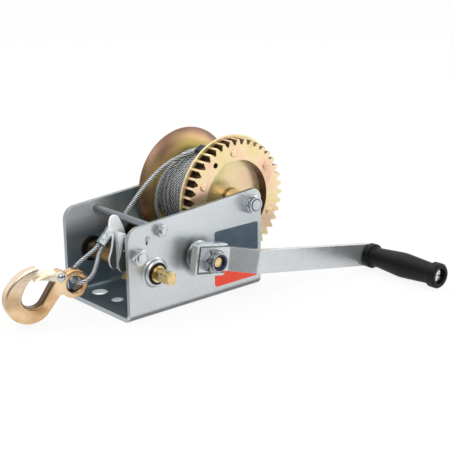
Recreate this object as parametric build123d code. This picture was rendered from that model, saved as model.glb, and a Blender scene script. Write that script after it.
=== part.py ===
from build123d import *
import os
from math import acos, atan2, cos, degrees, pi, radians, sin, sqrt, tan

# Two-speed hand winch, in millimetres. X runs along the side plates, from the cable's mouth (-X) to the drum.
# Y runs from the crank's side plate (-Y) to the plain one. Z is up, from the underside of the base.

# Frame: one sheet bent to a U
frame_length = 154.0
frame_width = 100.0
sheet = 4.0
bend_radius = 8.0
mouth_height = 84.5
drum_height = 96.6
mouth_corner = 12.0
drum_corner = 10.0
collar_radius = 12.0
collar_reach = 4.5
near = -frame_width / 2
far = frame_width / 2
near_inside = near + sheet
far_inside = far - sheet

# Bolts and nuts: radius, width across flats, nut height and free play in the sheet
m6, m6_flats, m6_nut = 3.0, 10.0, 5.0
m8, m8_flats, m8_nut = 4.0, 13.0, 6.5
m10, m10_flats, m10_nut = 5.0, 16.0, 11.0
m12, m12_flats, m12_nut = 6.0, 19.0, 12.0
bolt_play = 0.1
nut_crown = 0.28
nut_rim = 0.46

# Bolt holes in the base
base_hole_x = 55.0
base_hole_y = 28.0
base_hole_radius = 7.5
middle_hole_radius = 5.5

# Gear train: one module, stub teeth
module = 2.75
pressure = radians(25.0)
addendum = 0.8 * module
dedendum = 1.05 * module
backlash = 0.22
drum_teeth = 40
pinion_teeth = 12
middle_teeth = 24
drum_tooth_angle = 7.1

# Shaft places as (X, Z)
drum_at = (61.0, 83.7)
crank_reach = module * (drum_teeth + pinion_teeth) / 2
crank_at = (0.0, drum_at[1] - sqrt(crank_reach ** 2 - drum_at[0] ** 2))
slow_drop = 4.9
slow_reach = module * (middle_teeth + pinion_teeth) / 2
slow_at = (crank_at[0] - sqrt(slow_reach ** 2 - slow_drop ** 2), crank_at[1] - slow_drop)

# Shafts and bushes
journal_radius = 7.45
journal_end = 3.4
clip_radius = 10.5
clip_thick = 1.1
bush_bore = 7.5
bush_radius = 10.0
bush_flange_radius = 12.0
bush_flange = 1.5
shaft_radius = 9.0
stub_radius = m12
stub_flat = 5.0
stub_start = near - 5.9
stub_end = near - 23.5
stud_end = near - 27.5
pinion_width = 11.0
pinion_back = -25.4
slow_pinion_span = (-24.0, -44.0)
middle_gear_span = (-37.3, -43.7)
fit_gap = 0.02

# Drum, from the gear's front face to the far flange
gear_front = -34.8
gear_back = -25.0
gear_bore = 37.5
flange_sheet = 2.5
flange_radius = 60.0
far_flange_inside = 32.0
far_flange_sheet = 2.2
far_flange_flat = 36.0
far_flange_bend = 30.0
far_flange_slope = 45.0
far_flange_round = 2.2
barrel_radius = 20.0
barrel_wall = 3.0
hub_hole = 8.6
hub_flange_radius = 9.8
hub_flange = 1.5
hub_ends = (-12.0, 20.0)
axle_sleeve_radius = 7.5
spacer_radius = 9.0
spacer_gap = 0.4
rivet_circle = 45.0
rivet_angle = 35.3
rivet_count = 6
rivet_radius = 2.5
rivet_head = 3.5
rivet_rise = 1.4
clamp_hole_angle = 125.3
clamp_hole_radius = 2.6
clamp_angle = 118.0
clamp_circle = 53.5
clamp_size = (11.0, 7.0, 12.0)

# Cable
cable = 4.0
wound_radius = 37.0
wound_pitch = 4.5
wound_spread = 2.1
wound_tight = radians(105.0)
wound_turns = 7
wound_start = -16.6
core_ends = (-20.4, 30.6)
lead_gap = 0.35
lead_lift = ((-470, 0.0), (-250, 0.0), (-165, 3.6), (-110, 4.45), (5, 4.45), (104, 0.0))
lead_across = ((-470, 17.4), (-330, 16.8), (-250, 15.0), (-170, 28.0), (-120, 28.6), (20, 12.2),
               (104, 10.5))
lead_bends = ((25.0, 10.7, 117.3), (-14.0, 11.2, 99.0))
strand_apart = 4.2
ferrule_strand = (-60.3, 11.3, 53.4)
ferrule_side = (0.5206, -0.6674, -0.5334)
ferrule_length = 22.0
ferrule_section = (11.6, 6.6)
tail_length = 3.0
loop_near = ((-73.2, 2.2, 43.8), (-88.0, -10.2, 35.2))
loop_far = ((-92.0, 11.4, 41.2), (-76.5, 13.4, 47.6))
loop_reach = 9.6

# Crank
arm_tilt = 10.0
crank_length = 194.0
arm_width = 22.0
arm_thick = 5.0
arm_inner_y = -63.5
arm_offset = 17.5
arm_tail = 13.5
arm_bends = (21.0, 44.6)
arm_bend_radius = 9.0
bracket_size = (36.0, 29.6)
bracket_sheet = 2.2
bracket_lip = 5.4
grip_length = 88.0
grip_bolt_radius = 4.5
grip_head = (7.5, 3.0)
grip_cap = (6.4, 4.0)
grip_recess = (7.6, 7.7)
grip_start = arm_inner_y - arm_thick - arm_offset - 0.4
grip_collar = 12.1
grip_ring = 10.4
grip_necks = (9.5, 9.9)
grip_ridge = 12.3
grip_ridge_at = 43.0
stud_bevel = 1.6

# Pawl
pawl_at = (-67.6, 60.2)
pawl_boss = 6.8
pawl_near = -40.4
pawl_far = -25.0
pawl_sheet = 2.5
pawl_web = -73.4
pawl_web_ends = (45.0, 79.0)
pawl_play = 0.06
pawl_head = (6.5, 3.8)
pawl_swing = 15.0
nose_rest = (-68.0, 46.5)
spring_hole_at = (-56.8, 69.6)
spring_hole = 1.3

# Tie bolt across the mouth
tie_at = (-42.9, 79.1)
tie_radius = 3.5
tie_bore = 3.1

# Hook: the middle of its eye, and the turn of its plane about Z
eye_at = (-101.3, 0.5, 31.6)
hook_turn = 12.0
hook_thick = 11.0
hook_round = 2.0
eye_radius = 13.0
eye_hole = 6.8
latch_at = (-12.9, 9.0)
latch_sheet = 1.2
latch_crown = 4.2
latch_gap = 0.45
latch_pin = 2.45
latch_room = 6.3

os.makedirs("parts", exist_ok=True)


def save(node, shape):
    export_step(shape, f"parts/{node}.step")


def facing(at, y):
    # A plane seen from the crank's side: local x is X, local y is Z, and its depth runs to -Y
    return Plane(origin=(at[0], y, at[1]), x_dir=(1, 0, 0), z_dir=(0, -1, 0))


def slab(outline, y_far, y_near, at=(0.0, 0.0)):
    return extrude(facing(at, y_far) * outline, y_far - y_near)


def rod(at, y_far, y_near, radius):
    return slab(Circle(radius), y_far, y_near, at)


def tube(at, y_far, y_near, radius, bore):
    return slab(Circle(radius) - Circle(bore), y_far, y_near, at)


def turned(profile, at):
    # A solid of revolution about the Y direction through (X, Z); profile points are (radius, y)
    face = make_face(Polyline(*profile, close=True))
    return Pos(at[0], 0, at[1]) * revolve(face, Axis.Y)


def polar(radius, angle):
    return (radius * cos(radians(angle)), radius * sin(radians(angle)))


def plus(a, b):
    return (a[0] + b[0], a[1] + b[1])


def hexagon(across_flats):
    return RegularPolygon(across_flats / 2, 6, major_radius=False)


def chamfered_hex(at, y_far, y_near, across_flats, bore, chamfer_near=True):
    # A hexagon whose corners are turned down to the circle that a nut's face has
    outline = hexagon(across_flats)
    if bore:
        outline -= Circle(bore)
    body = slab(outline, y_far, y_near, at)
    face = 0.475 * across_flats
    corner = 0.6 * across_flats
    drop = (corner - face) * tan(radians(30))
    end, inward = (y_near, drop) if chamfer_near else (y_far, -drop)
    other = y_far if chamfer_near else y_near
    cone = turned([(0, end), (face, end), (corner, end + inward), (corner, other), (0, other)], at)
    return body & cone


# Gears


def involute(angle):
    return tan(angle) - angle


def gear_outline(teeth, tooth_angle):
    pitch = module * teeth / 2
    base = pitch * cos(pressure)
    tip = pitch + addendum
    root = pitch - dedendum
    start = max(base, root)
    half_pitch = pi / (2 * teeth) - backlash / (4 * pitch)

    def half(radius):
        return half_pitch + involute(pressure) - involute(acos(min(1.0, base / radius)))

    def spot(radius, angle):
        return (radius * cos(angle), radius * sin(angle))

    edges = []
    step = 2 * pi / teeth
    middle = (start + tip) / 2
    for k in range(teeth):
        centre = radians(tooth_angle) + k * step
        if root < start:
            edges.append(Line(spot(root, centre - half(start)), spot(start, centre - half(start))))
        edges.append(ThreePointArc(*[spot(r, centre - half(r)) for r in (start, middle, tip)]))
        edges.append(ThreePointArc(*[spot(tip, centre + turn) for turn in (-half(tip), 0, half(tip))]))
        edges.append(ThreePointArc(*[spot(r, centre + half(r)) for r in (tip, middle, start)]))
        if root < start:
            edges.append(Line(spot(start, centre + half(start)), spot(root, centre + half(start))))
        gap = centre + step / 2
        rest = step / 2 - half(start)
        edges.append(ThreePointArc(spot(root, gap - rest), spot(root, gap), spot(root, gap + rest)))
    return make_face(edges)


def mesh_angle(at, teeth, tooth_angle, other_at, other_teeth):
    # The tooth angle that puts the other gear's gap on this gear's tooth
    line = degrees(atan2(other_at[1] - at[1], other_at[0] - at[0]))
    return line + 180 - (tooth_angle - line) * teeth / other_teeth + 180 / other_teeth


# Paths of arcs for wound and bent wire


def biarc(p0, t0, p1, t1):
    # Two tangent arcs that leave p0 along t0 and reach p1 along t1
    across = p1 - p0
    both = t0 + t1
    a = 2 * (1 - t0.dot(t1))
    b = 2 * across.dot(both)
    reach = (-b + sqrt(b * b + 4 * a * across.dot(across))) / (2 * a)
    q0 = p0 + t0 * reach
    q1 = p1 - t1 * reach
    joint = (q0 + q1) * 0.5
    return [TangentArc(p0, joint, tangent=t0), TangentArc(joint, p1, tangent=q1 - q0)]


def winding(at, place, first, last, steps_per_turn):
    # Arcs along a coil about the Y direction; place gives radius and y at a turning angle in radians
    def spot(angle):
        radius, y = place(angle)
        return Vector(at[0] + radius * cos(angle), y, at[1] + radius * sin(angle))

    def heading(angle):
        small = 1e-4
        return (spot(angle + small) - spot(angle - small)).normalized()

    count = round(abs(last - first) / (2 * pi) * steps_per_turn)
    turn = 1 if last > first else -1
    angles = [first + (last - first) * k / count for k in range(count + 1)]
    edges = []
    for a0, a1 in zip(angles, angles[1:]):
        edges += biarc(spot(a0), heading(a0) * turn, spot(a1), heading(a1) * turn)
    return edges, spot(first), heading(first) * turn, spot(last), heading(last) * turn


def eased(stations, angle):
    # A value that passes smoothly through its (angle, value) stations
    for (a0, v0), (a1, v1) in zip(stations, stations[1:]):
        if angle <= a1:
            break
    share = min(1.0, max(0.0, (angle - a0) / (a1 - a0)))
    return v0 + (v1 - v0) * share * share * (3 - 2 * share)


def swept_wire(edges, radius):
    path = Wire(edges)
    start = path @ 0
    section = Plane(origin=start, z_dir=path % 0) * Circle(radius)
    return sweep(section, path=path), path


def least_gap(path, diameter, count):
    # The least clear gap between stretches of a coil that lie half a turn or more apart
    places = [path @ (k / count) for k in range(count + 1)]
    apart = path.length / count
    skip = int(3 * diameter / apart) + 1
    closest = 1e9
    for i in range(0, len(places)):
        for j in range(i + skip, len(places)):
            closest = min(closest, (places[i] - places[j]).length)
    return closest - diameter


def corner_radii(points):
    radii = []
    for a, b, c in zip(points, points[1:], points[2:]):
        before = Vector(*b) - Vector(*a)
        after = Vector(*c) - Vector(*b)
        turn = radians(before.get_angle(after))
        radii.append(0.45 * min(before.length, after.length) / tan(turn / 2))
    return radii


# Frame


def frame_sheet():
    tall = drum_height + 10
    skin = Pos(0, tall / 2) * Rectangle(frame_width, tall)
    skin = fillet(skin.vertices().group_by(Axis.Y)[0], bend_radius)
    room = Pos(0, tall / 2 + sheet) * Rectangle(frame_width - 2 * sheet, tall)
    room = fillet(room.vertices().group_by(Axis.Y)[0], bend_radius - sheet)
    channel = extrude(Plane.YZ * (skin - room), frame_length / 2, both=True)
    end = frame_length / 2
    outline = make_face(Polyline((-end, 0), (end, 0), (end, drum_height), (-end, mouth_height), close=True))
    mouth_top = outline.vertices().group_by(Axis.X)[0].sort_by(Axis.Y)[-1]
    outline = fillet(mouth_top, mouth_corner)
    drum_top = outline.vertices().group_by(Axis.X)[-1].sort_by(Axis.Y)[-1]
    outline = fillet(drum_top, drum_corner)
    body = channel & slab(outline, far + 1, near - 1)
    for at in (crank_at, slow_at):
        for side in (-1, 1):
            face = side * frame_width / 2
            lip = side * (frame_width / 2 + collar_reach)
            collar = [(0, face - side), (collar_radius + 1.6, face - side), (collar_radius + 1.6, face),
                      (collar_radius + 0.4, face + side * 1.2), (collar_radius, lip - side * 1.2),
                      (collar_radius - 1.2, lip), (0, lip)]
            body += turned(collar, at)
        body -= rod(at, far + collar_reach + 1, near - collar_reach - 1, bush_radius)
    for at, radius in ((drum_at, m10 + bolt_play), (tie_at, m6 + bolt_play)):
        body -= rod(at, far + 1, near - 1, radius)
    for at, radius in ((pawl_at, m8 + bolt_play), (spring_hole_at, spring_hole)):
        body -= rod(at, near_inside + 1, near - 1, radius)
    for x in (-base_hole_x, base_hole_x):
        for y in (-base_hole_y, 0, base_hole_y):
            radius = middle_hole_radius if y == 0 else base_hole_radius
            body -= Pos(x, y, sheet / 2) * Cylinder(radius, sheet + 2)
    return body


def shaft_bush(at, side):
    # A flanged bush pressed into a collar from inside the channel; side is -1 for the crank's plate
    inside = side * (frame_width / 2 - sheet)
    lip = side * (frame_width / 2 + collar_reach - 0.4)
    flange = inside - side * bush_flange
    outer = bush_radius - fit_gap
    seat = inside - side * fit_gap
    return turned([(bush_bore, flange), (bush_flange_radius, flange), (bush_flange_radius, seat),
                   (outer, seat), (outer, lip), (bush_bore, lip)], at)


def lock_nut(at, seat, across_flats, height, bore, insert_radius):
    # A nut with a round crown that holds a nylon ring; it stands on the crank's side of its seat
    crown = nut_crown * height
    shoulder = seat - height + crown
    top = seat - height
    body = chamfered_hex(at, seat, shoulder, across_flats, bore)
    body += tube(at, shoulder, top, nut_rim * across_flats, bore)
    pocket = tube(at, shoulder, top - 1, insert_radius, 0.1)
    lip = tube(at, top + 0.6, top, insert_radius + 0.01, insert_radius - 0.5)
    ring = tube(at, shoulder - fit_gap, top + 0.62, insert_radius - fit_gap, bore - 0.02)
    return body - pocket + lip, ring


def plain_nut(at, across_flats, height, bore):
    seat = near - fit_gap
    return chamfered_hex(at, seat, seat - height, across_flats, bore + fit_gap)


def through_bolt(at, radius, across_flats, head, end):
    # A bolt from a hexagon head on the far plate to its end outside the near plate
    seat = far + fit_gap
    cap = chamfered_hex(at, seat + head, seat, across_flats, 0, chamfer_near=False)
    return rod(at, seat, end, radius) + cap


def pawl_bolt():
    radius, height = pawl_head
    seat = pawl_far + 0.4
    return rod(pawl_at, seat + height, seat, radius) + rod(pawl_at, seat, near - m8_nut - 1.3, m8)


# Drum


def near_flange():
    disc = tube(drum_at, gear_back + flange_sheet, gear_back, flange_radius, hub_hole)
    disc = fillet(disc.edges().filter_by(GeomType.CIRCLE).group_by(SortBy.RADIUS)[-1], 0.8)
    holes = [plus(drum_at, polar(rivet_circle, rivet_angle + 60 * k)) for k in range(rivet_count)]
    for at in holes:
        disc -= rod(at, gear_back + flange_sheet + 1, gear_back - 1, rivet_radius)
    spare = plus(drum_at, polar(rivet_circle, clamp_hole_angle))
    return disc - rod(spare, gear_back + flange_sheet + 1, gear_back - 1, clamp_hole_radius)


def far_flange():
    # A flat disc whose edge curves outwards to a rounded rim
    y = far_flange_inside
    back = y + far_flange_sheet

    def bent(radius, angle):
        x, rise = polar(radius, angle - 90)
        return (far_flange_flat + x, y + far_flange_bend + rise)

    def curve(radius):
        return [bent(radius, share * far_flange_slope) for share in (0, 0.5, 1)]

    inner = curve(far_flange_bend)
    outer = curve(far_flange_bend - far_flange_sheet)
    rim = bent(far_flange_bend - far_flange_sheet / 2, far_flange_slope + far_flange_round)
    face = make_face([
        Line((hub_hole, y), inner[0]),
        ThreePointArc(*inner),
        ThreePointArc(inner[2], rim, outer[2]),
        ThreePointArc(*reversed(outer)),
        Line(outer[0], (hub_hole, back)),
        Line((hub_hole, back), (hub_hole, y)),
    ])
    return Pos(drum_at[0], 0, drum_at[1]) * revolve(face, Axis.Y)


def drum_barrel():
    return tube(drum_at, far_flange_inside - fit_gap, gear_back + flange_sheet + fit_gap, barrel_radius,
                barrel_radius - barrel_wall)


def drum_gear():
    outline = gear_outline(drum_teeth, drum_tooth_angle) - Circle(gear_bore)
    for k in range(rivet_count):
        outline -= Pos(*polar(rivet_circle, rivet_angle + 60 * k)) * Circle(rivet_radius)
    outline -= Pos(*polar(rivet_circle, clamp_hole_angle)) * Circle(clamp_hole_radius)
    return slab(outline, gear_back - fit_gap, gear_front, drum_at)


def gear_rivets():
    back = gear_back + flange_sheet + fit_gap
    front = gear_front - fit_gap
    shank = rivet_radius - fit_gap
    half = rivet_rise / 2
    crown = rivet_head - 0.8
    profile = [(0, back + rivet_rise), (crown, back + rivet_rise), (rivet_head, back + half), (rivet_head, back),
               (shank, back), (shank, front), (rivet_head, front), (rivet_head, front - half),
               (crown, front - rivet_rise), (0, front - rivet_rise)]
    places = [plus(drum_at, polar(rivet_circle, rivet_angle + 60 * k)) for k in range(rivet_count)]
    return Compound(children=[turned(profile, at) for at in places])


def drum_bush(face, outwards, inner_end):
    # A flanged bush in a drum flange, running on the axle sleeve
    bore = axle_sleeve_radius + 0.05
    outer = hub_hole - fit_gap
    seat = face + outwards * fit_gap
    lip = seat + outwards * hub_flange
    return turned([(bore, lip), (hub_flange_radius, lip), (hub_flange_radius, seat), (outer, seat),
                   (outer, inner_end), (bore, inner_end)], drum_at)


def drum_spacers():
    bore = axle_sleeve_radius + fit_gap
    near_end = gear_back - hub_flange - spacer_gap
    far_end = far_flange_inside + far_flange_sheet + hub_flange + spacer_gap
    return Compound(children=[tube(drum_at, near_end, near_inside + fit_gap, spacer_radius, bore),
                              tube(drum_at, far_inside - fit_gap, far_end, spacer_radius, bore)])


def cable_core():
    return tube(drum_at, core_ends[1], core_ends[0], wound_radius - cable / 2 - 0.1, barrel_radius + fit_gap)


def cable_winding():
    # The top layer: turns that lie close on top and spread out below, with straight ends
    def place(angle):
        pitch = wound_pitch + wound_spread * (1 - cos(angle - wound_tight)) / 2
        return wound_radius, wound_start + pitch * angle / (2 * pi)

    last = 2 * pi * wound_turns
    edges, start, out, end, on = winding(drum_at, place, 0.0, last, 6)
    edges = [Line(start - out * cable, start)] + edges + [Line(end, end + on * cable)]
    body, path = swept_wire(edges, cable / 2)
    print("winding: least gap", round(least_gap(path, cable, 640), 2), "mm, length", round(path.length), "mm",
          "volume against section x length", round(body.volume / (pi * cable ** 2 / 4 * path.length), 4))
    return body


def cable_clamp():
    # The saddle that holds the cable's inner end to the flange, with its screw head
    face = gear_back + flange_sheet + fit_gap
    at = plus(drum_at, polar(clamp_circle, clamp_angle))
    length, width, height = clamp_size
    block = slab(Rot(0, 0, clamp_angle - 90) * RectangleRounded(length, width, 2), face + height, face, at)
    return block + rod(at, face + height + 2.2, face + height, 2.6)


# Crank shaft and slow shaft


def double_d(at, y_far, y_near):
    outline = Circle(stub_radius) & Rectangle(2 * stub_flat, 4 * stub_radius)
    return slab(outline, y_far, y_near, at)


def turned_shaft(at):
    # The two journals, the thick middle between the bushes and the groove for a circlip
    shoulder = far_inside - bush_flange - 0.3
    lip = far + collar_reach
    body = rod(at, shoulder, -shoulder, shaft_radius)
    body += rod(at, lip + journal_end, -lip - 1.5, journal_radius)
    return body - tube(at, lip + 0.7 + clip_thick, lip + 0.6, journal_radius + 1, journal_radius - 0.8)


def crank_shaft():
    flats_end = arm_inner_y - arm_thick + 1
    wide = stub_radius - 0.1
    stud = turned([(0, flats_end), (wide, flats_end), (wide, stud_end + stud_bevel),
                   (wide - stud_bevel, stud_end), (0, stud_end)], (0, 0))
    return turned_shaft(crank_at) + on_crank(double_d((0, 0), stub_start, flats_end) + stud)


def slow_shaft():
    stub = double_d(slow_at, stub_start, stub_end)
    bevel = 1.5
    wide = stub_radius + 1
    nose = turned([(0, near), (wide, near), (wide, stub_end + bevel - 1), (stub_radius - bevel, stub_end),
                   (0, stub_end)], slow_at)
    return turned_shaft(slow_at) + (stub & nose)


def circlip(at):
    groove = far + collar_reach + 0.65
    ring = Circle(clip_radius) - Circle(journal_radius - 0.75) - Pos(0, -9) * Rectangle(5, 10)
    return slab(ring, groove + clip_thick, groove, at)


def pinion(at, y_far, y_near, tooth_angle):
    return slab(gear_outline(pinion_teeth, tooth_angle) - Circle(shaft_radius + fit_gap), y_far, y_near, at)


def middle_gear(tooth_angle):
    outline = gear_outline(middle_teeth, tooth_angle) - Circle(shaft_radius + fit_gap)
    return slab(outline, *middle_gear_span, crank_at)


# Crank


def on_crank(shape):
    return Pos(crank_at[0], 0, crank_at[1]) * Rot(0, arm_tilt, 0) * shape


def drive_bracket():
    # A plate on the stub's flats, with a lip round three sides of the arm
    back = arm_inner_y + bracket_sheet
    length, height = bracket_size
    outline = RectangleRounded(length, height, 4)
    plate = slab(outline, back, arm_inner_y + fit_gap)
    pocket = Pos(length / 2, 0) * Rectangle(2 * (length - bracket_sheet), height - 2 * bracket_sheet)
    lips = slab(outline - pocket, back, arm_inner_y - bracket_lip)
    flats = Rectangle(2 * (stub_flat + fit_gap), 4 * stub_radius)
    hole = slab(Circle(stub_radius + fit_gap) & flats, back + 1, arm_inner_y - 1)
    return on_crank(plate + lips - hole)


def crank_arm():
    # A flat bar with two bends; x is along the arm from the shaft, and its width stands along Z
    y0 = arm_inner_y - arm_thick / 2
    y1 = y0 - arm_offset
    end = crank_length + arm_width / 2
    bends = [(arm_bends[0], y0), (arm_bends[1], y1)]
    line = FilletPolyline((-arm_tail, y0), *bends, (end, y1), radius=arm_bend_radius)
    bar = extrude(trace(line, arm_thick), arm_width / 2, both=True)
    plan = Pos((crank_length - arm_tail) / 2, 0) * Rectangle(crank_length + arm_tail, arm_width)
    plan += Pos(crank_length, 0) * Circle(arm_width / 2)
    bar = bar & slab(plan, arm_inner_y + 1, y1 - arm_thick)
    bar -= rod((0, 0), arm_inner_y + 1, arm_inner_y - arm_thick - 1, stub_radius + 0.05)
    return on_crank(bar - rod((crank_length, 0), arm_inner_y, y1 - arm_thick, grip_bolt_radius + fit_gap))


def grip_bolt():
    # A shouldered bolt: low head behind the arm, shank through the grip, slotted head in the grip's end
    at = (crank_length, 0)
    seat = arm_inner_y - arm_offset + fit_gap
    shoulder = grip_start - grip_length + grip_recess[1] - 0.3
    tip = shoulder - grip_cap[1]
    body = rod(at, seat + grip_head[1], seat, grip_head[0]) + rod(at, seat, shoulder, grip_bolt_radius)
    body += rod(at, shoulder, tip, grip_cap[0])
    return on_crank(body - slab(Rectangle(14, 1.2), tip + 1, tip - 1, at))


def hand_grip():
    # Collar, ring, a body that swells to a ridge and an end collar, with a recess for the screw head
    y = grip_start
    end = y - grip_length
    bore = grip_bolt_radius + 0.05
    recess, depth = grip_recess
    ridge = (grip_ridge, y - grip_ridge_at)
    face = make_face(Polyline(
        (bore, y), (grip_collar - 0.8, y), (grip_collar, y - 0.8), (grip_collar, y - 6.4),
        (grip_ring, y - 7.0), (grip_ring, y - 9.6), (grip_necks[0], y - 10.8), ridge,
        (grip_necks[1], end + 10.6), (grip_collar, end + 8.4), (grip_collar, end + 1.6),
        (grip_collar - 1.4, end), (recess, end), (recess, end + depth), (bore, end + depth), close=True))
    face = rounded(face, [(*ridge, 60.0), (grip_necks[0], y - 10.8, 3.0), (grip_necks[1], end + 10.6, 3.0)])
    return on_crank(Pos(crank_length, 0, 0) * revolve(face, Axis.Y))


# Pawl


def about_pawl(point, angle):
    x, z = point[0] - pawl_at[0], point[1] - pawl_at[1]
    c, s = cos(radians(angle)), sin(radians(angle))
    return (pawl_at[0] + x * c - z * s, pawl_at[1] + x * s + z * c)


def pawl():
    # A rocker: two cheeks with noses that drop into the slow pinion, a web between them, and a thumb ear
    nose_in = about_pawl(nose_rest, pawl_swing)
    aim = atan2(slow_at[1] - nose_in[1], slow_at[0] - nose_in[0]) - radians(pawl_swing)
    ahead = (cos(aim), sin(aim))
    side = (-sin(aim), cos(aim))

    def nose(back, half):
        return tuple(nose_rest[k] - ahead[k] * back + side[k] * half for k in (0, 1))

    waist, shoulder = (-75.6, 77.0), (-63.4, 77.0)
    low = [
        ThreePointArc(waist, (-76.4, 68.0), (-78.6, 60.0)),
        ThreePointArc((-78.6, 60.0), (-80.4, 53.0), (-78.6, 47.0)),
        Line((-78.6, 47.0), (-75.4, 44.4)),
        Line((-75.4, 44.4), nose(5.5, -3.9)),
        Line(nose(5.5, -3.9), nose(0, -0.8)),
        Line(nose(0, -0.8), nose(0, 0.8)),
        Line(nose(0, 0.8), nose(5.0, 3.7)),
        Line(nose(5.0, 3.7), (-67.6, 57.0)),
        Line((-67.6, 57.0), (-64.0, 65.5)),
        Line((-64.0, 65.5), shoulder),
    ]
    ear = [
        ThreePointArc(shoulder, (-66.2, 84.6), (-69.0, 90.4)),
        ThreePointArc((-69.0, 90.4), (-72.6, 93.4), (-76.8, 92.4)),
        ThreePointArc((-76.8, 92.4), (-78.4, 88.6), waist),
    ]
    far_cheek = make_face(low + ear) + Pos(*pawl_at) * Circle(pawl_boss)
    near_cheek = make_face(low + [Line(shoulder, waist)]) + Pos(*pawl_at) * Circle(pawl_boss)
    body = slab(far_cheek, pawl_far, pawl_far - pawl_sheet)
    body += slab(near_cheek, pawl_near + pawl_sheet, pawl_near)
    low_end, high_end = pawl_web_ends
    web = Pos(pawl_web + pawl_sheet / 2, (low_end + high_end) / 2) * Rectangle(pawl_sheet, high_end - low_end)
    body += slab(web, pawl_far - pawl_sheet / 2, pawl_near + pawl_sheet / 2)
    return body - rod(pawl_at, pawl_far + 1, pawl_near - 1, m8 + pawl_play)


def pawl_spring():
    # A torsion coil round the pawl bolt; one end passes through the near plate and curls up outside it
    wire = 1.0
    radius = 5.6
    first_y = near_inside + 1.3
    pitch = 1.45
    turns = 2.0
    hole = plus(spring_hole_at, (-pawl_at[0], -pawl_at[1]))
    distance = sqrt(hole[0] ** 2 + hole[1] ** 2)
    first = atan2(hole[1], hole[0]) + acos(radius / distance)

    def place(angle):
        return radius, first_y + pitch * (angle - first) / (2 * pi)

    edges, start, out, end, on = winding(pawl_at, place, first, first + 2 * pi * turns, 4)
    inside = start - out * sqrt(distance ** 2 - radius ** 2)
    x, y, z = inside.X, near - 1.1, inside.Z
    curl = [(x + 2.6, y, z + 3.8), (x + 2.6, y, z + 5.8), (x, y, z + 5.8), (x, y, z)]
    leg = FilletPolyline(*curl, tuple(inside), tuple(start), radius=0.95)
    body, path = swept_wire(list(leg.edges()) + edges + [Line(end, end + on * 7)], wire / 2)
    print("pawl spring: least gap", round(least_gap(path, wire, 500), 2), "mm")
    return body


# Hook


def on_hook(shape):
    return Pos(*eye_at) * Rot(0, 0, -hook_turn) * shape


def rounded(face, corners):
    # Rounds the corner nearest to each (x, y) with its radius
    for x, y, radius in corners:
        nearest = min(face.vertices(), key=lambda v: (v.X - x) ** 2 + (v.Y - y) ** 2)
        face = fillet(nearest, radius)
    return face


def hook_body():
    # The outline about the eye's middle: tip, bowl and shank, joined to the eye's ring
    tip, tip_end, tip_under = (-33.2, 20.4), (-31.4, 17.8), (-35.6, 12.4)
    back_top, back_low = (-56.4, 9.6), (-26.6, -24.2)
    bowl_low, bowl_top = (-30.2, -10.8), (-46.8, 0.2)
    shank_top, ear_left, ear_right, ear_foot = (-19.6, 5.2), (-17.6, 12.4), (-10.2, 13.6), (-5.0, 9.0)
    outline = make_face([
        ThreePointArc(back_top, (-46.2, 17.2), tip),
        Line(tip, tip_end),
        Line(tip_end, tip_under),
        ThreePointArc(tip_under, (-42.6, 7.2), bowl_top),
        ThreePointArc(bowl_top, (-42.4, -14.6), bowl_low),
        Line(bowl_low, shank_top),
        Line(shank_top, ear_left),
        Line(ear_left, ear_right),
        Line(ear_right, ear_foot),
        Line(ear_foot, (-6.4, 0.3)),
        Line((-6.4, 0.3), back_low),
        ThreePointArc(back_low, (-51.0, -27.0), back_top),
    ])
    outline += Circle(eye_radius)
    corners = [(*tip, 1.8), (*tip_end, 1.8), (*tip_under, 5), (*shank_top, 3), (*ear_left, 3), (*ear_right, 3),
               (-12.4, -6.4, 3), (*back_low, 6), (*back_top, 6), (*bowl_top, 4), (*bowl_low, 4)]
    outline = rounded(outline, corners)
    half = hook_thick / 2
    body = extrude(facing((0, 0), 0) * outline, half, both=True)
    sides = [face for face in body.faces() if abs(abs(face.center().Y) - half) < 0.01]
    body = fillet(sides[0].edges() + sides[1].edges(), hook_round)
    body -= facing((0, 0), 0) * Cylinder(eye_hole, 3 * hook_thick)
    rim = [e for e in body.edges() if e.geom_type == GeomType.CIRCLE and abs(e.radius - eye_hole) < 0.01]
    body = fillet(rim, hook_round)
    return on_hook(body - rod(latch_at, hook_thick, -hook_thick, latch_pin + fit_gap))


def latch_rivet():
    reach = hook_thick / 2 + latch_gap + latch_sheet + 0.35
    profile = [(0, reach + 1.6), (2.2, reach + 1.4), (3.6, reach), (latch_pin, reach)]
    profile += [(r, -y) for r, y in reversed(profile)]
    return on_hook(turned(profile, latch_at))


def hook_latch():
    # Folded sheet: two cheeks on the rivet and a crowned web along the top, closing the mouth under the hook's tip
    inside = hook_thick / 2 + latch_gap
    outside = inside + latch_sheet
    outline = make_face(Polyline((-11.0, 16.0), (-31.0, 16.0), (-36.8, 8.8), (-31.4, 9.8), (-24.7, 8.4),
                                 (-17.5, 6.2), (-13.0, 4.2), close=True))
    ridge_at, ridge = (-21.0, -19.3), 34.0

    def crowned(half, crown):
        # The outline's slab under a ridge whose two long edges are rounded
        low, bend = ridge - crown, crown * sqrt(0.5)
        section = make_face([
            Polyline((low, -half), (0, -half), (0, half), (low, half)),
            ThreePointArc((low, half), (low + bend, half - crown + bend), (ridge, half - crown)),
            Line((ridge, half - crown), (ridge, crown - half)),
            ThreePointArc((ridge, crown - half), (low + bend, crown - half - bend), (low, -half)),
        ])
        return slab(outline, half, -half) & Pos(ridge_at[0], 0, ridge_at[1]) * revolve(section, Axis.Y)

    body = crowned(outside, latch_crown) + rod(latch_at, outside, -outside, 4.8)
    body -= Pos(0, 0, -latch_sheet) * crowned(inside, latch_crown - latch_sheet)
    body -= slab(Circle(latch_room), inside, -inside, latch_at)
    body -= slab(Circle(eye_radius + 0.4), inside, -inside)
    return on_hook(body - rod(latch_at, hook_thick, -hook_thick, latch_pin + 0.05))


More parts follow.
